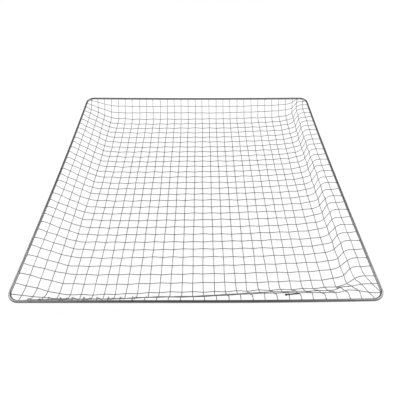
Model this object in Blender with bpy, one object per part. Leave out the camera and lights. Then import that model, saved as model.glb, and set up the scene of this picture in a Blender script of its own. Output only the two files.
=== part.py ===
"""Wire cooling screen: a round-rod rim that carries a dished sheet of crossed wires.

X runs left to right, Y front to back, Z up. The screen stands on the floor of its dish at z = 0.
"""

import math

import bmesh
import bpy
import numpy as np

# The rim rod
OUTER_WIDTH = 0.610
OUTER_DEPTH = 0.610
ROD_DIAMETER = 0.005
CORNER_RADIUS = 0.0215  # outside of the rim
ROD_SIDES = 12
CORNER_STEPS = 5
SIDE_STEPS = 8

# The mesh has pulled three sides of the rim in at mid length, and the front right corner is pushed back
BOW_LEFT = 0.0037
BOW_RIGHT = 0.0034
BOW_BACK = 0.0030
CORNER_PUSH = 0.0036
FIRM_EDGE = 0.006  # what lies this near the rim moves with it
PULL_FADE = 8  # the power by which the pull fades towards the middle

# The wires
WIRE_DIAMETER = 0.0014
WIRE_SIDES = 6
LONG_WIRES = 32  # front to back
CROSS_WIRES = 33  # left to right
GAP = 0.0003  # between pieces that touch

# How many pitches of the mesh span the rim's centre line, on the floor of the dish and at the rim
LONG_PITCHES_ON_FLOOR = 31.43
LONG_PITCHES_AT_RIM = 31.21
CROSS_PITCHES_ON_FLOOR = 32.53
CROSS_PITCHES_AT_RIM = 31.99

# The sheet sits a little off centre in its rim, and its right side is racked towards the back
SHIFT_RIGHT = 0.0043
SHIFT_BACK_AT_LEFT = -0.0053
SHIFT_BACK_ON_FLOOR = -0.0050
SHIFT_BACK_AT_RIGHT = 0.0061
SKEW_RIGHT = 0.0015  # of the dish floor, at the back end of the rim
SKEW_BACK = 0.0039  # of the dish floor, at the right side of the rim
EDGE_PULL = 0.28  # the sheet is bunched by this share where it would reach past the rim

# The dish: each wall as (distance from the rim's centre line, share of the full depth)
DISH_DEPTH = 0.0446
LEFT_WALL = [(0.0, 0.0), (0.005, 0.0), (0.0600, 0.795), (0.0728, 0.928), (0.120, 1.0)]
RIGHT_WALL = [(0.0, 0.0), (0.030, 0.036), (0.0355, 0.145), (0.0434, 0.654), (0.054, 0.768), (0.080, 0.879),
              (0.120, 0.933), (0.220, 1.0)]
FRONT_WALL = [(0.0, 0.0), (0.008, 0.0), (0.0295, 0.77), (0.038, 0.90), (0.160, 1.0)]
BACK_WALL = [(0.0, 0.0), (0.004, 0.0), (0.0445, 0.752), (0.053, 0.826), (0.160, 1.0)]
FRONT_LEFT_PULL = 0.003  # how much nearer the left half of the front wall stands to the rod
CREST_RISE = 0.0038  # the left half of the front wall rises above the rim before it meets the rod

# Wires joined where they cross near a corner, as (name, long wire number, cross wire number)
CORNER_PAIRS = [
    ("corner_pair_front_left", 2, 32),
    ("corner_pair_front_right", 31, 31),
    ("corner_pair_back_left", 3, 2),
    ("corner_pair_back_right", 30, 3),
    ("corner_pair_inner_left", 4, 30),
    ("corner_pair_inner_right", 29, 4),
]
NUGGET_WIDTH = 0.0010  # the weld between two joined wires

WIRE_RADIUS = WIRE_DIAMETER / 2
WIRE_FLAT = WIRE_RADIUS * math.cos(math.pi / WIRE_SIDES)  # centre line to a flat of the wire
LAYER = WIRE_FLAT + GAP / 2  # centre line of a wire to the middle of the sheet
ROD_RADIUS = ROD_DIAMETER / 2
HALF_WIDTH = OUTER_WIDTH / 2 - ROD_RADIUS
HALF_DEPTH = OUTER_DEPTH / 2 - ROD_RADIUS
BEND_RADIUS = CORNER_RADIUS - ROD_RADIUS
RIM_HEIGHT = DISH_DEPTH + LAYER + WIRE_FLAT  # the rod's centre line above the table
END_BEND = 0.005  # length over which a corner wire's end turns up to the rim


def clear_scene():
    for obj in list(bpy.data.objects):
        bpy.data.objects.remove(obj, do_unlink=True)


def metal(name, colour, roughness):
    """A plain plated metal."""
    material = bpy.data.materials.new(name)
    material.use_nodes = True
    shader = material.node_tree.nodes["Principled BSDF"]
    shader.inputs["Base Color"].default_value = (*colour, 1.0)
    shader.inputs["Roughness"].default_value = roughness
    shader.inputs["Metallic"].default_value = 1.0
    return material


def add_object(name, points, faces, material):
    """One object from points and faces, its normals turned outwards."""
    mesh = bpy.data.meshes.new(name)
    mesh.from_pydata([tuple(p) for p in points], [], faces)
    shape = bmesh.new()
    shape.from_mesh(mesh)
    bmesh.ops.recalc_face_normals(shape, faces=shape.faces)
    shape.to_mesh(mesh)
    shape.free()
    mesh.materials.append(material)
    mesh.polygons.foreach_set("use_smooth", [True] * len(mesh.polygons))
    obj = bpy.data.objects.new(name, mesh)
    bpy.context.scene.collection.objects.link(obj)
    return obj


def wall_stations(wall, half, side):
    """A wall's breaks from the floor outwards, as (length along the sheet, plan position, share of depth)."""
    inward = wall[::-1]
    distance, share = inward[0]
    length = half - distance
    found = [(side * length, side * length, share)]
    for next_distance, next_share in inward[1:]:
        length += math.hypot(distance - next_distance, DISH_DEPTH * (share - next_share))
        distance, share = next_distance, next_share
        found.append((side * length, side * (half - distance), share))
    return found


def stations(low_wall, high_wall, half):
    """Both walls' breaks in rising order, as three arrays."""
    rows = wall_stations(low_wall, half, -1)[::-1] + wall_stations(high_wall, half, 1)
    return np.array(rows).T


def pull(x, y):
    """How far the rim's nearest sides stand inside the true square, along X and along Y."""
    u, v = np.clip(x / HALF_WIDTH, -1, 1), np.clip(y / HALF_DEPTH, -1, 1)
    from_side = np.where(x < 0, BOW_LEFT, BOW_RIGHT) * (1 - v * v)
    from_end = np.where(y < 0, CORNER_PUSH * np.maximum(u, 0) ** 2, BOW_BACK * (1 - u * u))
    return from_side, from_end


def pulled_in(nodes):
    """The nodes of the true square, moved as the rim's sides pull them. The pull fades away from the rim."""
    x, y = nodes[..., 0], nodes[..., 1]
    from_side, from_end = pull(x, y)
    near_side = np.clip(np.abs(x) / (HALF_WIDTH - FIRM_EDGE), 0, 1) ** PULL_FADE
    near_end = np.clip(np.abs(y) / (HALF_DEPTH - FIRM_EDGE), 0, 1) ** PULL_FADE
    moved = nodes.copy()
    moved[..., 0] -= np.sign(x) * from_side * near_side
    moved[..., 1] -= np.sign(y) * from_end * near_end
    return moved


def bunched(positions, half):
    """Positions along the rim, with what lies past its end drawn in."""
    inside = np.clip(positions, -half, half)
    return inside + (positions - inside) * EDGE_PULL


def dish_nodes():
    """The sheet's middle surface at every pair of breaks. Between the breaks the sheet is bilinear."""
    along_x, plan_x, share_x = stations(LEFT_WALL, RIGHT_WALL, HALF_WIDTH)
    along_y, plan_y, share_y = stations(FRONT_WALL, BACK_WALL, HALF_DEPTH)
    spread_x = LONG_PITCHES_ON_FLOOR / LONG_PITCHES_AT_RIM
    spread_y = CROSS_PITCHES_ON_FLOOR / CROSS_PITCHES_AT_RIM
    nodes = np.zeros((len(along_x), len(along_y), 3))
    at_rim_x = bunched(along_x[:, None] * spread_x, HALF_WIDTH)
    nodes[:, :, 0] = at_rim_x + (plan_x[:, None] - at_rim_x) * share_y[None, :]
    rim_shift = np.where(plan_x < 0, SHIFT_BACK_AT_LEFT, SHIFT_BACK_AT_RIGHT) - SHIFT_BACK_ON_FLOOR
    at_rim_y = bunched(along_y[None, :] * spread_y + rim_shift[:, None], HALF_DEPTH)
    nodes[:, :, 1] = at_rim_y + (plan_y[None, :] - at_rim_y) * share_x[:, None]
    nodes[:, :, 2] = -DISH_DEPTH * share_x[:, None] * share_y[None, :]
    on_floor = share_x[:, None] * share_y[None, :]
    nodes[:, :, 0] += SKEW_RIGHT * along_y[None, :] / HALF_DEPTH * on_floor
    nodes[:, :, 1] += SKEW_BACK * along_x[:, None] / HALF_WIDTH * on_floor
    left = np.where(plan_x < -HALF_WIDTH / 2, share_x, 0.0)
    crest = 1  # the front wall's first break inside the rim
    nodes[:, crest, 2] += CREST_RISE * left
    nodes[:, crest:len(FRONT_WALL) - 1, 1] -= FRONT_LEFT_PULL * left[:, None]
    return along_x, along_y, pulled_in(nodes)


def sheet_normals(nodes):
    """At each node, the direction that keeps one distance from all the patches that meet there."""
    edge_x = nodes[1:, :-1] - nodes[:-1, :-1]
    edge_y = nodes[:-1, 1:] - nodes[:-1, :-1]
    patch = np.cross(edge_x, edge_y)
    patch /= np.linalg.norm(patch, axis=2)[:, :, None]
    near = np.pad(patch, ((1, 1), (1, 1), (0, 0)), mode="edge")
    around = np.stack([near[:-1, :-1], near[1:, :-1], near[:-1, 1:], near[1:, 1:]])
    middle = around.sum(axis=0)
    middle /= np.linalg.norm(middle, axis=2)[:, :, None]
    return middle / (around * middle).sum(axis=3).mean(axis=0)[:, :, None]


def row_at(values, stops, position, axis):
    """The line of nodes at one position between the breaks of an axis."""
    k = int(np.clip(np.searchsorted(stops, position) - 1, 0, len(stops) - 2))
    share = (position - stops[k]) / (stops[k + 1] - stops[k])
    low = np.take(values, k, axis=axis)
    high = np.take(values, k + 1, axis=axis)
    return low + (high - low) * share


def rim_distance(point):
    """Plan distance outside the rim's centre line, negative inside it."""
    from_side, from_end = pull(point[0], point[1])
    qx = abs(point[0]) + from_side - (HALF_WIDTH - BEND_RADIUS)
    qy = abs(point[1]) + from_end - (HALF_DEPTH - BEND_RADIUS)
    return math.hypot(max(qx, 0.0), max(qy, 0.0)) + min(max(qx, qy), 0.0) - BEND_RADIUS


def rim_facing(point, direction):
    """Cosine of the angle between a direction and the level way straight out to the rim."""
    qx = max(abs(point[0]) - (HALF_WIDTH - BEND_RADIUS), 0.0)
    qy = max(abs(point[1]) - (HALF_DEPTH - BEND_RADIUS), 0.0)
    out = np.array([math.copysign(qx, point[0]), math.copysign(qy, point[1])])
    length = np.linalg.norm(out) * np.linalg.norm(direction)
    return 1.0 if length == 0 else float(out @ direction[:2]) / length


def cut_at_rim(points, layer):
    """A half wire from the floor outwards, ended just short of the rim rod at the rod's own height."""
    kept = [points[0]]
    for inner, outer in zip(points[:-1], points[1:]):
        direction = outer - inner
        slant = math.sqrt(max(0.0, 1.0 - rim_facing(outer, direction) ** 2))
        limit = -(ROD_RADIUS + GAP + WIRE_RADIUS * slant)
        if rim_distance(outer) < limit:
            kept.append(outer)
            continue
        low, high = 0.0, 1.0
        for _ in range(40):
            middle = (low + high) / 2
            if rim_distance(inner + direction * middle) < limit:
                low = middle
            else:
                high = middle
        end = inner + direction * low
        if abs(end[2] - layer) > GAP:
            back = low - END_BEND / np.linalg.norm(direction)
            if back > 0:
                kept.append(inner + direction * back)
            end = np.array([end[0], end[1], layer])
        kept.append(end)
        break
    return kept


def wire_path(row, normals, layer):
    """A whole wire's centre line, on its own side of the sheet's middle surface."""
    line = row + normals * layer
    middle = int(np.argmin(np.abs(line[:, :2]).sum(axis=1)))
    first_half = cut_at_rim(line[middle::-1], layer)
    second_half = cut_at_rim(line[middle:], layer)
    path = np.array(first_half[::-1] + second_half[1:])
    path[:, 2] += RIM_HEIGHT
    return path, len(first_half) - 1


def swept_wire(path, middle):
    """A wire of flats along a centre line, one flat facing down on the dish's floor."""
    steps = path[1:] - path[:-1]
    steps /= np.linalg.norm(steps, axis=1)[:, None]
    planes = np.vstack([steps[:1], steps[:-1] + steps[1:], steps[-1:]])
    start = steps[min(middle, len(steps) - 1)]
    side = np.cross(start, (0.0, 0.0, 1.0))
    side /= np.linalg.norm(side)
    up = np.cross(side, start)
    turn = np.arange(WIRE_SIDES) * 2 * math.pi / WIRE_SIDES
    ring = np.outer(np.cos(turn), side) + np.outer(np.sin(turn), up)
    ring = path[middle] + ring * WIRE_RADIUS
    rings = [None] * len(path)

    def slid(ring, step, at):
        reach = (path[at] - ring) @ planes[at] / (step @ planes[at])
        return ring + np.outer(reach, step)

    rings[middle] = slid(ring, start, middle)
    for at in range(middle + 1, len(path)):
        rings[at] = slid(rings[at - 1], steps[at - 1], at)
    for at in range(middle - 1, -1, -1):
        rings[at] = slid(rings[at + 1], steps[at], at)
    return np.concatenate(rings), len(path)


def tube_faces(rings, sides, closed):
    """The quads between rings of points, with end caps on an open tube."""
    faces = []
    for ring in range(rings if closed else rings - 1):
        for k in range(sides):
            here, there = ring * sides, (ring + 1) % rings * sides
            faces.append((here + k, here + (k + 1) % sides, there + (k + 1) % sides, there + k))
    if not closed:
        faces.append(tuple(range(sides)))
        faces.append(tuple((rings - 1) * sides + k for k in range(sides)))
    return faces


def add_wire(name, row, normals, layer, material):
    points, rings = swept_wire(*wire_path(row, normals, layer))
    return add_object(name, points, tube_faces(rings, WIRE_SIDES, False), material)


def add_nugget(name, centre, up, material):
    """The small block of weld that fills the gap between two crossing wires."""
    up = up / np.linalg.norm(up)
    side = np.cross(up, (0.0, 1.0, 0.0))
    side /= np.linalg.norm(side)
    front = np.cross(up, side)
    points = []
    for height in (-LAYER, LAYER):
        for a, b in ((-1, -1), (1, -1), (1, 1), (-1, 1)):
            points.append(centre + up * height + (side * a + front * b) * NUGGET_WIDTH / 2)
    return add_object(name, points, tube_faces(2, 4, False), material)


def rim_centres():
    """The rim's centre line: four round corners, with even steps along the sides between them."""
    corners = []
    for corner in range(4):
        signs = np.array([(1, 1), (-1, 1), (-1, -1), (1, -1)][corner])
        hub = signs * (HALF_WIDTH - BEND_RADIUS, HALF_DEPTH - BEND_RADIUS)
        angles = (corner + np.linspace(0, 1, CORNER_STEPS + 1)) * math.pi / 2
        corners.append(hub + BEND_RADIUS * np.stack([np.cos(angles), np.sin(angles)], axis=1))
    line = []
    for corner, after in zip(corners, corners[1:] + corners[:1]):
        share = np.linspace(0, 1, SIDE_STEPS + 1)[1:-1, None]
        line += [corner, corner[-1] + (after[0] - corner[-1]) * share]
    plan = np.concatenate(line)
    from_side, from_end = pull(plan[:, 0], plan[:, 1])
    plan = plan - np.sign(plan) * np.stack([from_side, from_end], axis=1)
    return np.column_stack([plan, np.full(len(plan), RIM_HEIGHT)])


def add_rim(material):
    """The rim rod, with a flat facing down and one facing up."""
    centres = rim_centres()
    ahead = np.roll(centres, -1, axis=0) - centres
    ahead /= np.linalg.norm(ahead, axis=1)[:, None]
    tangent = ahead + np.roll(ahead, 1, axis=0)
    stretch = 2 / np.linalg.norm(tangent, axis=1)
    outs = np.cross(tangent, (0.0, 0.0, 1.0))
    outs *= (stretch / np.linalg.norm(outs, axis=1))[:, None]
    angles = (np.arange(ROD_SIDES) + 0.5) * 2 * math.pi / ROD_SIDES
    across = outs[:, None] * (ROD_RADIUS * np.cos(angles))[None, :, None]
    rise = np.array([0.0, 0.0, ROD_RADIUS]) * np.sin(angles)[:, None]
    points = (centres[:, None] + across + rise[None]).reshape(-1, 3)
    return add_object("rim_rod", points, tube_faces(len(centres), ROD_SIDES, True), material)


def join(target, others):
    """Union the others into the target."""
    for other in others:
        other.hide_render = True
        other.display_type = "WIRE"
        union = target.modifiers.new("Join " + other.name, "BOOLEAN")
        union.operation = "UNION"
        union.solver = "EXACT"
        union.object = other


def main():
    clear_scene()
    rod_metal = metal("plated_rod", (0.42, 0.42, 0.43), 0.30)
    wire_metal = metal("plated_wire", (0.50, 0.50, 0.51), 0.35)
    add_rim(rod_metal)

    along_x, along_y, nodes = dish_nodes()
    normals = sheet_normals(nodes)
    long_pitch = 2 * HALF_WIDTH / LONG_PITCHES_ON_FLOOR
    cross_pitch = 2 * HALF_DEPTH / CROSS_PITCHES_ON_FLOOR
    long_at = SHIFT_RIGHT + (np.arange(LONG_WIRES) - (LONG_WIRES - 1) / 2) * long_pitch
    cross_at = SHIFT_BACK_ON_FLOOR + ((CROSS_WIRES - 1) / 2 - np.arange(CROSS_WIRES)) * cross_pitch

    wires = {}
    for number, position in enumerate(long_at, 1):
        row = row_at(nodes, along_x, position, 0)
        up = row_at(normals, along_x, position, 0)
        wires["long", number] = add_wire(f"long_wire_{number:02d}", row, up, LAYER, wire_metal)
    for number, position in enumerate(cross_at, 1):
        row = row_at(nodes, along_y, position, 1)
        up = row_at(normals, along_y, position, 1)
        wires["cross", number] = add_wire(f"cross_wire_{number:02d}", row, up, -LAYER, wire_metal)

    for name, long_number, cross_number in CORNER_PAIRS:
        across, along = long_at[long_number - 1], cross_at[cross_number - 1]
        centre = row_at(row_at(nodes, along_x, across, 0), along_y, along, 0)
        up = row_at(row_at(normals, along_x, across, 0), along_y, along, 0)
        centre = centre + np.array([0.0, 0.0, RIM_HEIGHT])
        nugget = add_nugget("nugget_" + name, centre, up, wire_metal)
        pair = wires["long", long_number]
        join(pair, [nugget, wires["cross", cross_number]])
        pair.name = name


main()
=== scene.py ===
# %% [markdown]
# # A wire cooling screen
#
# Fried or glazed food drains and cools on a screen like this one. It has two kinds of
# piece: one heavy round rod bent into a square with round corners, and a woven sheet of
# thin wires that hangs in the rod as a shallow dish.
#
# The plain model is loaded first. It gives the size of everything, and it stays fixed.
# Each of its wires and its rim are then replaced by a finer piece in the same place.

# %% Load the plain model
import math

import bpy
import numpy as np
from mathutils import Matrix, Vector


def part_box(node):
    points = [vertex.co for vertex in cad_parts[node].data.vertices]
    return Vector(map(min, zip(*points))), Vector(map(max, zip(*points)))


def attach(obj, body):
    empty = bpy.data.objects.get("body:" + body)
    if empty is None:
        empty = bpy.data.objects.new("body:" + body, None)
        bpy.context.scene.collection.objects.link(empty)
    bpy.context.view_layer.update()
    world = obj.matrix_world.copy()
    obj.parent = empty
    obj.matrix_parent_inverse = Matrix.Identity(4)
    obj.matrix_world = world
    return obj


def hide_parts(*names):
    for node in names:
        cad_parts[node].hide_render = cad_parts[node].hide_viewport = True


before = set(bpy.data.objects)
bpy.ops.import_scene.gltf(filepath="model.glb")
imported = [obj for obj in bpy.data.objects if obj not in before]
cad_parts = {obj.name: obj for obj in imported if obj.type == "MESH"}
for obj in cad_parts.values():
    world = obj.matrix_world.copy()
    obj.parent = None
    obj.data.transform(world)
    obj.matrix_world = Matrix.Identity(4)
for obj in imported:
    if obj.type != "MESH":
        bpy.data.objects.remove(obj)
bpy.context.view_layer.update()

# %% [markdown]
# ## Sizes
#
# The height of the rim is read from the plain model's own rim. Its width can't be read
# from a box, because three of its sides are bowed in, so the true square is given here.
# The rod is a hair thinner than the plain one, so that a round rod stays inside the
# flat-sided one, and the wires are a hair thicker.
#
# On the floor of the dish the wires are a little closer together than at the rim,
# because forming the dish draws the sheet in. The two spreads say by how much.

# %% Sizes of the rim and the wires
rod_low, rod_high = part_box("rim_rod")
ROD_RADIUS = 0.0024
BEND_RADIUS = 0.019
RIM_HEIGHT = (rod_low.z + rod_high.z) / 2
HALF_WIDTH = HALF_DEPTH = 0.3025
BOW_LEFT, BOW_RIGHT, BOW_BACK = 0.0037, 0.0034, 0.0030
CORNER_PUSH = 0.0036  # the front right corner stands this much further back

WIRE_RADIUS = 0.00074
LONG_WIRES, CROSS_WIRES = 32, 33
LONG_PITCH, CROSS_PITCH = 2 * HALF_WIDTH / 31.43, 2 * HALF_DEPTH / 32.53
LONG_SPREAD, CROSS_SPREAD = 1.007, 1.017
print(f"rim {2 * HALF_WIDTH:.4f} by {2 * HALF_DEPTH:.4f} m at height {RIM_HEIGHT:.4f} m")

# %% [markdown]
# ## The walls of the dish
#
# No two sides of the dish are alike. The left wall is one long slope, the right wall is
# a level lip and then a steep drop, and the back and front walls are short and steep. A
# wall is written as a few breaks: how far in from the rim, and how much of the full
# depth is reached there.
#
# A wire can't stretch, so its length along the wall is what counts. The breaks are
# turned into a table from length along the sheet to place and depth, and the table is
# read through a small moving average, which rounds each break as a bent wire does.

# %% Walls, and how to read them
DISH_DEPTH = 0.0445
LEFT_WALL = [(0.0, 0.0), (0.005, 0.0), (0.0600, 0.795), (0.0728, 0.928), (0.120, 1.0)]
RIGHT_WALL = [(0.0, 0.0), (0.030, 0.036), (0.0355, 0.145), (0.0434, 0.654), (0.054, 0.768),
              (0.080, 0.879), (0.120, 0.933), (0.220, 1.0)]
BACK_WALL = [(0.0, 0.0), (0.004, 0.0), (0.0445, 0.752), (0.053, 0.826), (0.160, 1.0)]
FRONT_WALL_LEFT = [(0.0, 0.0), (0.0065, -0.02), (0.027, 0.78), (0.036, 0.895), (0.160, 1.0)]
FRONT_WALL_RIGHT = [(0.0, 0.0), (0.014, 0.0), (0.0336, 0.765), (0.041, 0.925), (0.160, 1.0)]
ROUNDING = 0.00625  # half the length of the moving average
AVERAGED = 9  # how many places it is taken from
BEYOND = 0.060  # the tables go on past the rim, so that every wire reaches it


def wall_table(wall, half):
    """One wall from the floor outwards: length along the sheet, plan place and share of
    the depth. Length grows by the slant distance from each break to the next."""
    distance, share = np.array(wall[::-1]).T
    slant = np.hypot(np.diff(distance), DISH_DEPTH * np.diff(share))
    length = half - distance[0] + np.concatenate([[0.0], np.cumsum(slant)])
    place = half - distance
    return (np.append(length, length[-1] + BEYOND), np.append(place, place[-1] + BEYOND),
            np.append(share, 0.0))


def across_table(low_wall, high_wall, half):
    """A whole section of the dish: the low wall turned round, then the high wall."""
    low, high = wall_table(low_wall, half), wall_table(high_wall, half)
    return (np.concatenate([-low[0][::-1], high[0]]), np.concatenate([-low[1][::-1], high[1]]),
            np.concatenate([low[2][::-1], high[2]]))


def rounded(position, stops, values):
    """The table's value averaged over a short stretch on both sides of each position,
    with most weight in the middle: 1 + cos(pi * reach)."""
    reach = np.linspace(-1.0, 1.0, AVERAGED)
    weight = 1.0 + np.cos(math.pi * reach)
    spots = np.asarray(position)[..., None] + reach * ROUNDING
    return np.interp(spots, stops, values) @ (weight / weight.sum())


SECTION_X = across_table(LEFT_WALL, RIGHT_WALL, HALF_WIDTH)
SECTION_Y_LEFT = across_table(FRONT_WALL_LEFT, BACK_WALL, HALF_DEPTH)
SECTION_Y_RIGHT = across_table(FRONT_WALL_RIGHT, BACK_WALL, HALF_DEPTH)
print("sheet, cut size in mm:", round(1000 * (np.ptp(SECTION_X[0]) - 2 * BEYOND)),
      "by", round(1000 * (np.ptp(SECTION_Y_RIGHT[0]) - 2 * BEYOND)))

# %% [markdown]
# ## The square that isn't quite square
#
# The sheet pulls three sides of the rim inwards at mid length, and the front right
# corner is pushed back. The rod and the sheet near it move together, so one function
# bends the true square and everything near its edge. Everything else is worked out in
# the true square, which keeps it simple.

# %% Bending the square, and places near the rim
FIRM_EDGE = 0.006  # what lies this near the rim moves with it
PULL_FADE = 8
EDGE_PULL = 0.28


def smooth_step(value, low, high):
    """0 below low, 1 above high, and an S-curve between them."""
    share = np.clip((value - low) / (high - low), 0.0, 1.0)
    return share * share * (3.0 - 2.0 * share)


def pulled_in(points):
    """The true square turned into the real one: each side moves in by bow * (1 - t * t),
    with t along the side from -1 to 1, and the front right corner moves back. The pull
    fades as a high power of the distance from the middle, so it stays near the rim."""
    x, y, z = np.moveaxis(points, -1, 0)
    u, v = np.clip(x / HALF_WIDTH, -1, 1), np.clip(y / HALF_DEPTH, -1, 1)
    near_side = np.clip(np.abs(x) / (HALF_WIDTH - FIRM_EDGE), 0, 1) ** PULL_FADE
    near_end = np.clip(np.abs(y) / (HALF_DEPTH - FIRM_EDGE), 0, 1) ** PULL_FADE
    inward_x = np.where(x < 0, BOW_LEFT, BOW_RIGHT) * (1 - v * v) * near_side
    push, bow = CORNER_PUSH * np.clip(u, 0, 1) ** 2, BOW_BACK * (1 - u * u)
    inward_y = np.where(y < 0, push, bow) * near_end
    return np.stack([x - np.sign(x) * inward_x, y - np.sign(y) * inward_y, z], axis=-1)


def rim_distance(x, y):
    """Plan distance outside the rod's centre line, negative inside: the distance to a
    square with round corners."""
    qx = np.abs(x) - (HALF_WIDTH - BEND_RADIUS)
    qy = np.abs(y) - (HALF_DEPTH - BEND_RADIUS)
    outside = np.hypot(np.maximum(qx, 0.0), np.maximum(qy, 0.0))
    return outside + np.minimum(np.maximum(qx, qy), 0.0) - BEND_RADIUS


def bunched(position, half):
    """Places along the rim, with what would lie past its end drawn in."""
    inside = np.clip(position, -half, half)
    return inside + (position - inside) * EDGE_PULL


# %% [markdown]
# ## From the flat sheet to the dish
#
# One function says where every point of the sheet goes, and both sets of wires use it,
# so that they always meet. In the middle a point follows the two wall tables. Near the
# rim the walls no longer draw the sheet in, so the wires spread out again to their even
# spacing. The sheet is also fixed in a little askew: its right side sits further back.
#
# Two places differ from this plain rule. In the left half of the front the sheet stands
# nearer the rod and rises to a crest, and its wires hold their close spacing up to the
# crest. At the front right corner the last cross wires step back before they reach the
# rim. Each exception is a size times S-curves that say where it holds.

# %% The dish as a function of two lengths
SHIFT_RIGHT = 0.0043
SHIFT_BACK_LEFT, SHIFT_BACK_FLOOR, SHIFT_BACK_RIGHT = -0.0053, -0.0050, 0.0061
SKEW_RIGHT, SKEW_BACK = 0.0015, 0.0039
RIM_EASE = 0.010  # the sheet comes level over this distance from the rod
WALLS_BLEND = -0.030, 0.140  # the front wall's left form turns into its right form here
CREST_FADE = 0.25  # the power by which the crest fades towards the side walls

FRONT_LEFT_PULL = 0.0032
PULL_FROM_MIDDLE = 0.05, 0.15
PULL_FROM_FRONT = 0.235, 0.275
HELD_FROM_ROD = 0.002, 0.0085
HELD_FROM_MIDDLE = 0.0, 0.06

CORNER_RISE, CORNER_RISE_NEAR = 0.0062, 0.0018  # of the last two cross wires, and of those before
LAST_TWO_WIRES = 0.268, 0.282
CORNER_WIRES = 0.20, 0.25
CORNER_STEP = 0.0065
CORNER_STEP_AT = 0.231, 0.251


def dish(s, t):
    """The middle surface of the sheet at lengths s (left to right) and t (front to back).
    Plan place = rim place + (wall place - rim place) * depth share of the other section.
    Height = rim height - full depth * both shares, easing to rim height at the rod."""
    plan_x, share_x = rounded(s, *SECTION_X[:2]), rounded(s, SECTION_X[0], SECTION_X[2])
    to_right = smooth_step(s, *WALLS_BLEND)
    plan_y = (rounded(t, *SECTION_Y_LEFT[:2]) * (1 - to_right)
              + rounded(t, *SECTION_Y_RIGHT[:2]) * to_right)
    share_y = (rounded(t, SECTION_Y_LEFT[0], SECTION_Y_LEFT[2]) * (1 - to_right)
               + rounded(t, SECTION_Y_RIGHT[0], SECTION_Y_RIGHT[2]) * to_right)
    inner_x, inner_y = np.clip(share_x, 0, 1), np.clip(share_y, 0, 1)
    last_two = smooth_step(-t, *LAST_TWO_WIRES)

    askew = np.where(s < 0, SHIFT_BACK_LEFT, SHIFT_BACK_RIGHT) - SHIFT_BACK_FLOOR
    rise = CORNER_RISE_NEAR + (CORNER_RISE - CORNER_RISE_NEAR) * last_two
    rise = rise * smooth_step(-t, *CORNER_WIRES) * (s > 0)
    rim_x = bunched(s * LONG_SPREAD, HALF_WIDTH)
    rim_y = bunched(t * CROSS_SPREAD + askew + rise, HALF_DEPTH)

    from_front = t - SECTION_Y_LEFT[0][1]
    held = smooth_step(from_front, *HELD_FROM_ROD) * smooth_step(-s, *HELD_FROM_MIDDLE) * (t < 0)
    x = rim_x + (plan_x - rim_x) * np.maximum(inner_y, held)
    y = rim_y + (plan_y - rim_y) * inner_x
    on_floor = inner_x * inner_y
    x = x + SKEW_RIGHT * t / HALF_DEPTH * on_floor
    y = y + SKEW_BACK * s / HALF_WIDTH * on_floor
    y = y - (FRONT_LEFT_PULL * smooth_step(-s, *PULL_FROM_MIDDLE)
             * smooth_step(-t, *PULL_FROM_FRONT) * inner_x)
    y = y + CORNER_STEP * smooth_step(s, *CORNER_STEP_AT) * last_two * inner_x

    near_rim = smooth_step(-rim_distance(x, y), 0.0, RIM_EASE)
    crest = share_y * np.clip(share_x, 0, None) ** CREST_FADE
    lowered = np.where(share_y < 0, crest, share_x * share_y)
    z = RIM_HEIGHT - DISH_DEPTH * lowered * near_rim
    return np.stack([x, y, z], axis=-1)


def sheet_normal(s, t):
    """Straight up out of the sheet: the cross product of its two slopes."""
    step = 0.001
    along_s = dish(s + step, t) - dish(s - step, t)
    along_t = dish(s, t + step) - dish(s, t - step)
    normal = np.cross(along_s, along_t)
    return normal / np.linalg.norm(normal, axis=-1, keepdims=True)


# %% [markdown]
# ## Carrying a round profile along a path
#
# Every wire, the rim and the splice are tubes: a circle carried along a path. The circle
# has to stay square to the path without twisting. A steady reference direction does
# that: across = path x reference, up = across x path. A wire runs roughly level, so the
# reference is straight up for all of them.

# %% Tube surface
def tube(path, radius, sides, closed=False):
    """Points and quads of a tube. Point = path + radius * (cos a * across + sin a * up).
    radius is one number or one per path point. An open tube gets a flat cap at each end."""
    ahead = np.roll(path, -1, axis=0) if closed else np.vstack([path[1:], 2 * path[-1] - path[-2]])
    behind = np.roll(path, 1, axis=0) if closed else np.vstack([2 * path[0] - path[1], path[:-1]])
    forward = ahead - behind
    forward /= np.linalg.norm(forward, axis=1, keepdims=True)
    across = np.cross(forward, (0.0, 0.0, 1.0))
    across /= np.linalg.norm(across, axis=1, keepdims=True)
    up = np.cross(across, forward)
    angle = (np.arange(sides) * 2 * math.pi / sides)[None, :, None]
    ring = np.cos(angle) * across[:, None] + np.sin(angle) * up[:, None]
    points = path[:, None] + ring * np.broadcast_to(radius, len(path))[:, None, None]
    rows = len(path) if closed else len(path) - 1
    here, beside = ring_pairs(rows, sides)
    last = len(path) * sides
    quads = np.stack([here, beside, (beside + sides) % last, (here + sides) % last], axis=-1)
    faces = quads.reshape(-1, 4)[:, ::-1].tolist()
    if not closed:
        faces += [list(range(sides)), list(range(last - 1, last - sides - 1, -1))]
    return points.reshape(-1, 3), faces


def ring_pairs(rows, sides):
    """For each ring of points, the numbers of its points and of their next neighbours."""
    first, turn = np.arange(rows)[:, None] * sides, np.arange(sides)[None]
    return first + turn, first + (turn + 1) % sides


def add_piece(name, points, faces, material):
    """A smooth mesh object at the origin, riding with the rack."""
    mesh = bpy.data.meshes.new(name)
    mesh.from_pydata(points.tolist(), [], faces)
    mesh.polygons.foreach_set("use_smooth", [True] * len(mesh.polygons))
    mesh.materials.append(material)
    mesh.update()
    piece = bpy.data.objects.new(name, mesh)
    bpy.context.scene.collection.objects.link(piece)
    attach(piece, "root")
    return piece


# %% [markdown]
# ## Finishes
#
# The metals are plated steel: dull bright wire, a smoother rod, and the splice, which
# the welding heat has darkened. Plating is never even, so one slow noise moves the tone
# and the gloss a little from place to place, and a fine grain roughens the surface. All
# three metals come from one function.

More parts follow.
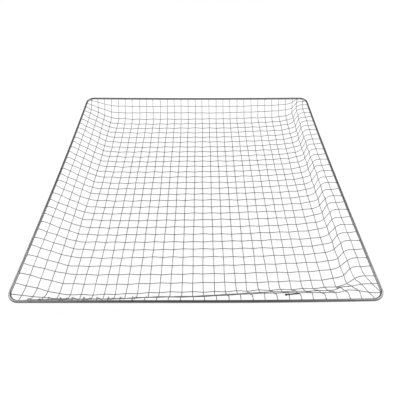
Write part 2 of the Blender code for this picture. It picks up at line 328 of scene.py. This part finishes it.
# %% Plated metals
TONE_SWING = 0.15
GLOSS_SWING = 0.06
DRIFT_SCALE, DRIFT_DETAIL = 30.0, 4.0
GRAIN_SCALE, GRAIN_STRENGTH, GRAIN_HEIGHT = 1200.0, 0.25, 0.00005


def plated_metal(name, colour, roughness):
    """A metal whose tone and gloss drift a little from place to place, with a fine grain."""
    material = bpy.data.materials.new(name)
    material.use_nodes = True
    nodes, links = material.node_tree.nodes, material.node_tree.links
    shader = nodes["Principled BSDF"]
    shader.inputs["Metallic"].default_value = 1.0
    place = nodes.new("ShaderNodeTexCoord")
    drift = nodes.new("ShaderNodeTexNoise")
    drift.inputs["Scale"].default_value = DRIFT_SCALE
    drift.inputs["Detail"].default_value = DRIFT_DETAIL
    links.new(place.outputs["Object"], drift.inputs["Vector"])
    tone = nodes.new("ShaderNodeMix")
    tone.data_type = "RGBA"
    tone.inputs["A"].default_value = (*[(1 - TONE_SWING) * c for c in colour], 1.0)
    tone.inputs["B"].default_value = (*[(1 + TONE_SWING) * c for c in colour], 1.0)
    links.new(drift.outputs["Fac"], tone.inputs["Factor"])
    links.new(tone.outputs["Result"], shader.inputs["Base Color"])
    gloss = nodes.new("ShaderNodeMapRange")
    gloss.inputs["To Min"].default_value = roughness - GLOSS_SWING
    gloss.inputs["To Max"].default_value = roughness + GLOSS_SWING
    links.new(drift.outputs["Fac"], gloss.inputs["Value"])
    links.new(gloss.outputs["Result"], shader.inputs["Roughness"])
    grain = nodes.new("ShaderNodeTexNoise")
    grain.inputs["Scale"].default_value = GRAIN_SCALE
    links.new(place.outputs["Object"], grain.inputs["Vector"])
    bump = nodes.new("ShaderNodeBump")
    bump.inputs["Strength"].default_value = GRAIN_STRENGTH
    bump.inputs["Distance"].default_value = GRAIN_HEIGHT
    links.new(grain.outputs["Fac"], bump.inputs["Height"])
    links.new(bump.outputs["Normal"], shader.inputs["Normal"])
    return material


WIRE_METAL = plated_metal("plated_wire_steel", (0.22, 0.22, 0.225), 0.40)
BURNT_METAL = plated_metal("heat_darkened_steel", (0.05, 0.05, 0.05), 0.55)
ROD_METAL = plated_metal("plated_rod_steel", (0.21, 0.21, 0.215), 0.36)

# %% [markdown]
# ## The rim rod
#
# One rod is bent round four corners and closed. Its path is four quarter circles joined
# by straight sides, and the pull of the sheet then bows the left, right and back sides.
# Steps along the sides are needed only so that they can bow.

# %% Rim path and rod
SIDE_STEPS, CORNER_POINTS, ROD_SIDES = 36, 13, 16


def rim_path(side_steps, corner_points):
    """The rod's centre line, anticlockwise from the right side: quarter circles about
    the four corner hubs, with even steps along the sides between them."""
    quarter = np.linspace(0, math.pi / 2, corner_points)
    run = np.linspace(0, 1, side_steps, endpoint=False)[1:, None]
    signs = np.array([(1, 1), (-1, 1), (-1, -1), (1, -1)])
    hubs = signs * (HALF_WIDTH - BEND_RADIUS, HALF_DEPTH - BEND_RADIUS)
    turn = np.arange(4)[:, None] * math.pi / 2 + quarter
    bends = hubs[:, None] + BEND_RADIUS * np.stack([np.cos(turn), np.sin(turn)], axis=-1)
    starts, ends = bends[:, -1:], np.roll(bends[:, :1], -1, axis=0)
    sides = starts + (ends - starts) * run[None]
    flat = np.concatenate([bends, sides], axis=1).reshape(-1, 2)
    return pulled_in(np.column_stack([flat, np.full(len(flat), RIM_HEIGHT)]))


rim_line = rim_path(SIDE_STEPS, CORNER_POINTS)
rim = add_piece("rim_rod_round", *tube(rim_line, ROD_RADIUS, ROD_SIDES, closed=True), ROD_METAL)
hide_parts("rim_rod")
print("rod length, m:", round(float(np.linalg.norm(np.diff(rim_line, axis=0), axis=1).sum()), 3))

# %% [markdown]
# ## Paths of the wires
#
# In a plain weave each wire goes over one neighbour and under the next. Along a wire the
# wave is a cosine with one half wave per pitch, and the next wire is half a wave behind.
# The two sets are lifted with opposite signs here, and with these phases that puts both
# wires of a crossing on the same side, so they pass through each other. This is a known
# fault: a true weave needs the same sign for both sets.
#
# The two cross wires at the front lie almost straight, and there the long wires swing by
# as much more. In the left half of the front each long wire is also thrown up in a small
# arch over the crest.
#
# No wire is quite where it should be. Each has a small error of place and wanders
# slowly, with a fixed seed. A wire is traced past the rim, cut just inside the rod's
# surface, and divided into even steps again.

# %% Wire paths
STEPS_PER_PITCH = 6
TRACE_REACH, TRACE_POINTS = 0.34, 1400
FEWEST_STEPS = 8
INTO_ROD = 0.75  # a wire ends this share of the rod's radius from its centre line
WEAVE_LIFT = WIRE_RADIUS * 1.02
FRONT_CROSS_CRIMP, FRONT_LONG_CRIMP = 0.25, 1.75
FRONT_CRIMP_AT = 0.275, 0.285
ARCH_RISE, ARCH_AT, ARCH_HALF = 0.0058, 0.0060, 0.0024
ARCH_FROM_MIDDLE, ARCH_FROM_CORNER = (0.06, 0.12), (-0.285, -0.25)
BIG_ARCH_WIRE, BIG_ARCH_SHARE = 9, 1.5

rng = np.random.default_rng(7)
LONG_AT = SHIFT_RIGHT + (np.arange(LONG_WIRES) - (LONG_WIRES - 1) / 2) * LONG_PITCH
CROSS_AT = SHIFT_BACK_FLOOR + ((CROSS_WIRES - 1) / 2 - np.arange(CROSS_WIRES)) * CROSS_PITCH
LONG_AT = LONG_AT + rng.normal(0, 0.0003, LONG_WIRES)
CROSS_AT = CROSS_AT + rng.normal(0, 0.0002, CROSS_WIRES)


def arched(line, number):
    """The front end of a long wire in the left half, thrown up in a small arch over the
    crest of the front wall: a bell curve of the distance from the rod."""
    from_rod = line[:, 1] + HALF_DEPTH
    fade = smooth_step(-line[:, 0], *ARCH_FROM_MIDDLE) * smooth_step(line[:, 0], *ARCH_FROM_CORNER)
    width = ARCH_HALF * (BIG_ARCH_SHARE if number == BIG_ARCH_WIRE else 1.0)
    bump = np.exp(-((from_rod - ARCH_AT) / width) ** 2) * (line[:, 1] < 0) * fade
    return line + np.outer(ARCH_RISE * bump, (0.0, 0.0, 1.0))


def crimp(number, along_x, t):
    """How much of the weave's wave this wire takes."""
    if along_x:
        return FRONT_CROSS_CRIMP if number >= CROSS_WIRES - 1 else 1.0
    return 1.0 + (FRONT_LONG_CRIMP - 1.0) * smooth_step(-t, *FRONT_CRIMP_AT)


def wander(length, phase):
    """A slow sideways drift: two sines of different wavelength."""
    return 0.0004 * np.sin(length / 0.047 + phase) + 0.0003 * np.sin(length / 0.019 + 2.3 * phase)


def inside_rim(line):
    """The unbroken middle stretch of a traced line that lies inside the rod."""
    gap = rim_distance(line[:, 0], line[:, 1]) + ROD_RADIUS * INTO_ROD
    inside, outside = np.flatnonzero(gap < 0), np.flatnonzero(gap >= 0)
    centre = inside[np.argmin(np.abs(inside - TRACE_POINTS // 2))]
    first, last = outside[outside < centre].max() + 1, outside[outside > centre].min() - 1
    return line[first:last + 1]


def wire_path(number, along_x):
    """The centre line of one wire: the dish surface at a fixed s or t, lifted along the
    sheet's normal by the weave's cosine, cut at the rod and stepped evenly."""
    free = np.linspace(-TRACE_REACH, TRACE_REACH, TRACE_POINTS)
    half_wave = 0.5 if along_x else 0.0
    fixed = (CROSS_AT if along_x else LONG_AT)[number - 1] + wander(free, 1.7 * number + half_wave)
    s, t = (free, fixed) if along_x else (fixed, free)
    pitch, middle = (LONG_PITCH, SHIFT_RIGHT) if along_x else (CROSS_PITCH, SHIFT_BACK_FLOOR)
    wave = np.cos(math.pi * ((free - middle) / pitch + half_wave + number))
    side = -1.0 if along_x else 1.0  # known fault: 1.0 for both would part the wires at crossings
    lift = WEAVE_LIFT * crimp(number, along_x, t)
    line = dish(s, t) + sheet_normal(s, t) * (side * lift * wave)[:, None]
    if not along_x:
        line = arched(line, number)
    line = inside_rim(line)
    length = np.concatenate([[0.0], np.cumsum(np.linalg.norm(np.diff(line, axis=0), axis=1))])
    steps = max(FEWEST_STEPS, int(round(length[-1] / pitch * STEPS_PER_PITCH)))
    even = np.linspace(0.0, length[-1], steps + 1)
    return pulled_in(np.stack([np.interp(even, length, line[:, k]) for k in range(3)], axis=1))


# %% [markdown]
# ## The wires
#
# Each wire is a drawn wire cut to length, so each is a tube of its own. The plain model
# joins six long wires to six cross wires where they cross near a corner, and there both
# fine wires stand for the one plain piece.

# %% Make all the wires
WIRE_SIDES = 6
CORNER_PAIRS = {"front_left": (2, 32), "front_right": (31, 31), "back_left": (3, 2),
                "back_right": (30, 3), "inner_left": (4, 30), "inner_right": (29, 4)}


def node_for(number, along_x):
    """The plain piece that a wire stands for: a joined pair, or a node of its own."""
    for pair, numbers in CORNER_PAIRS.items():
        if number == numbers[along_x]:
            return "corner_pair_" + pair
    return f"{'cross' if along_x else 'long'}_wire_{number:02d}"


wire_lengths, wire_ends = [], []
for along_x, count in ((False, LONG_WIRES), (True, CROSS_WIRES)):
    for number in range(1, count + 1):
        path = wire_path(number, along_x)
        name = f"woven_{'cross' if along_x else 'long'}_{number:02d}"
        wire = add_piece(name, *tube(path, WIRE_RADIUS, WIRE_SIDES), WIRE_METAL)
        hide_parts(node_for(number, along_x))
        wire_ends += [path[0], path[-1]]
        wire_lengths.append(float(np.linalg.norm(np.diff(path, axis=0), axis=1).sum()))
print(len(wire_lengths), "wires, from", round(min(wire_lengths), 3), "to", round(max(wire_lengths), 3), "m")

# %% [markdown]
# ## Weld beads
#
# A screen like this is held together by welding each wire end to the inside of the rod,
# which squeezes out a small bead. The beads are one mesh: a coarse, slightly flattened
# ball, copied to each wire end. Each has only a few faces, because there are so many.

# %% Beads where the wires meet the rod
BEAD_RADIUS = 0.0011
BEAD_SHAPE = 1.25, 1.25, 0.9
BEAD_ROWS, BEAD_SIDES, CAP_TILT = 4, 6, 1.2


def ball(rows, sides):
    """A ball of radius 1 as rings of latitude, cut flat at both poles: its points, the
    quads between the rings, and the two caps."""
    tilt = np.linspace(-CAP_TILT, CAP_TILT, rows)[:, None]
    turn = np.arange(sides)[None] * 2 * math.pi / sides
    points = np.stack([np.cos(tilt) * np.cos(turn), np.cos(tilt) * np.sin(turn),
                       np.sin(tilt) * np.ones_like(turn)], axis=-1).reshape(-1, 3)
    here, beside = ring_pairs(rows - 1, sides)
    quads = np.stack([here, beside, beside + sides, here + sides], axis=-1).reshape(-1, 4)
    return points, quads, np.array([np.arange(sides)[::-1], (rows - 1) * sides + np.arange(sides)])


bead_points, bead_quads, bead_caps = ball(BEAD_ROWS, BEAD_SIDES)
ends = np.array(wire_ends)
placed = ends[:, None] + bead_points[None] * BEAD_RADIUS * BEAD_SHAPE
offset = np.arange(len(ends))[:, None, None] * len(bead_points)
bead_faces = (bead_quads[None] + offset).reshape(-1, 4).tolist()
bead_faces += (bead_caps[None] + offset).reshape(-1, BEAD_SIDES).tolist()
beads = add_piece("weld_beads", placed.reshape(-1, 3), bead_faces, WIRE_METAL)
print(len(ends), "weld beads")

# %% [markdown]
# ## The splice in the edge wire
#
# Near the front right corner a short, dark, thicker piece lies along the crest, with a
# round blob at its left end. It reads as a mend: one wire end melted to a ball, and a
# piece welded on from there. It is a tube whose radius is a bell curve plus a constant.

# %% The splice
SPLICE_LEFT, SPLICE_RIGHT, SPLICE_POINTS = 0.1425, 0.1675, 14
SPLICE_FRONT, SPLICE_SLANT, SPLICE_ABOVE_RIM = -0.2915, 0.10, 0.0012
SPLICE_RADIUS, SPLICE_TIP, SPLICE_SIDES = 0.00100, 0.0004, 8
BLOB_EXTRA, BLOB_AT, BLOB_HALF = 0.0009, 0.1445, 0.0018

splice_x = np.linspace(SPLICE_LEFT, SPLICE_RIGHT, SPLICE_POINTS)
splice_y = SPLICE_FRONT + (splice_x - SPLICE_LEFT) * SPLICE_SLANT
splice_line = np.column_stack([splice_x, splice_y, np.full(SPLICE_POINTS, RIM_HEIGHT + SPLICE_ABOVE_RIM)])
splice_radius = SPLICE_RADIUS + BLOB_EXTRA * np.exp(-((splice_x - BLOB_AT) / BLOB_HALF) ** 2)
splice_radius[0] = splice_radius[-1] = SPLICE_TIP
splice = add_piece("edge_wire_splice", *tube(splice_line, splice_radius, SPLICE_SIDES), BURNT_METAL)
print("splice, mm long:", round(1000 * (SPLICE_RIGHT - SPLICE_LEFT), 1))

# %% [markdown]
# ## Floor
#
# The wires are so thin that they show best as dark lines on a bright ground, so the
# floor glows a little, like a light table. It has no gloss, and it leaves no shadow.

# %% Floor
FLOOR_HALF, FLOOR_BELOW, FLOOR_TONE, FLOOR_GLOW = 6, 0.0005, 0.2, 0.83
floor_mesh = bpy.data.meshes.new("floor")
floor_signs = (-1, -1), (1, -1), (1, 1), (-1, 1)
floor_corners = [(x * FLOOR_HALF, y * FLOOR_HALF, -FLOOR_BELOW) for x, y in floor_signs]
floor_mesh.from_pydata(floor_corners, [], [(0, 1, 2, 3)])
floor = bpy.data.objects.new("floor", floor_mesh)
bpy.context.scene.collection.objects.link(floor)
paper = bpy.data.materials.new("pale_light_table")
paper.use_nodes = True
paper_shader = paper.node_tree.nodes["Principled BSDF"]
paper_shader.inputs["Base Color"].default_value = (FLOOR_TONE, FLOOR_TONE, FLOOR_TONE, 1.0)
paper_shader.inputs["Roughness"].default_value = 1.0
paper_shader.inputs["Specular IOR Level"].default_value = 0.0
paper_shader.inputs["Emission Color"].default_value = (1.0, 1.0, 1.0, 1.0)
paper_shader.inputs["Emission Strength"].default_value = FLOOR_GLOW
floor_mesh.materials.append(paper)

# %% [markdown]
# ## Light
#
# The sky is bright near the horizon and dim overhead. A rod then shows bright edges and
# a dark line along its top, which makes it read as round metal. One large softbox on
# each side lifts the two side rods, which would otherwise be as dark as the front one.

# %% Light
SKY_LOW, SKY_HIGH = 0.15, 0.55
HORIZON_LIGHT, OVERHEAD_LIGHT = 1.0, 0.16
world = bpy.data.worlds.new("studio")
world.use_nodes = True
sky_nodes, sky_links = world.node_tree.nodes, world.node_tree.links
direction = sky_nodes.new("ShaderNodeTexCoord")
split = sky_nodes.new("ShaderNodeSeparateXYZ")
fade = sky_nodes.new("ShaderNodeMapRange")
fade.inputs["From Min"].default_value = SKY_LOW
fade.inputs["From Max"].default_value = SKY_HIGH
fade.inputs["To Min"].default_value = HORIZON_LIGHT
fade.inputs["To Max"].default_value = OVERHEAD_LIGHT
sky_links.new(direction.outputs["Generated"], split.inputs["Vector"])
sky_links.new(split.outputs["Z"], fade.inputs["Value"])
sky_links.new(fade.outputs["Result"], sky_nodes["Background"].inputs["Color"])
bpy.context.scene.world = world


def softbox(name, place, target, size, watts):
    """A square area light that faces a point."""
    light = bpy.data.lights.new(name, "AREA")
    light.shape, light.size, light.energy = "SQUARE", size, watts
    lamp = bpy.data.objects.new(name, light)
    away = np.array(place) - np.array(target)
    lamp.location = place
    lamp.rotation_mode = "QUATERNION"
    lamp.rotation_quaternion = Vector(away).to_track_quat("Z", "Y")
    bpy.context.scene.collection.objects.link(lamp)
    return lamp


softbox("softbox_left", (-1.5, 0.2, 1.3), (0, 0, 0), 1.4, 30)
softbox("softbox_right", (1.5, 0.2, 1.3), (0, 0, 0), 1.4, 30)
bpy.context.scene.view_settings.view_transform = "Standard"

# %% [markdown]
# ## Camera
#
# The camera stands in front of the screen and above it, quite close, so that the rim
# narrows strongly towards the back. It is level from side to side.

# %% Camera
DOWNWARD = 47.38  # degrees below level
camera_data = bpy.data.cameras.new("camera")
camera_data.lens = 30.815
camera_data.sensor_width = 36.0
camera_data.shift_x = 0.0048
camera_data.shift_y = 0.00095
camera = bpy.data.objects.new("camera", camera_data)
camera.location = (0.0031, -0.5528, RIM_HEIGHT + 0.5098)
camera.rotation_euler = (math.radians(90 - DOWNWARD), 0.0, 0.0)
bpy.context.scene.collection.objects.link(camera)
bpy.context.scene.camera = camera
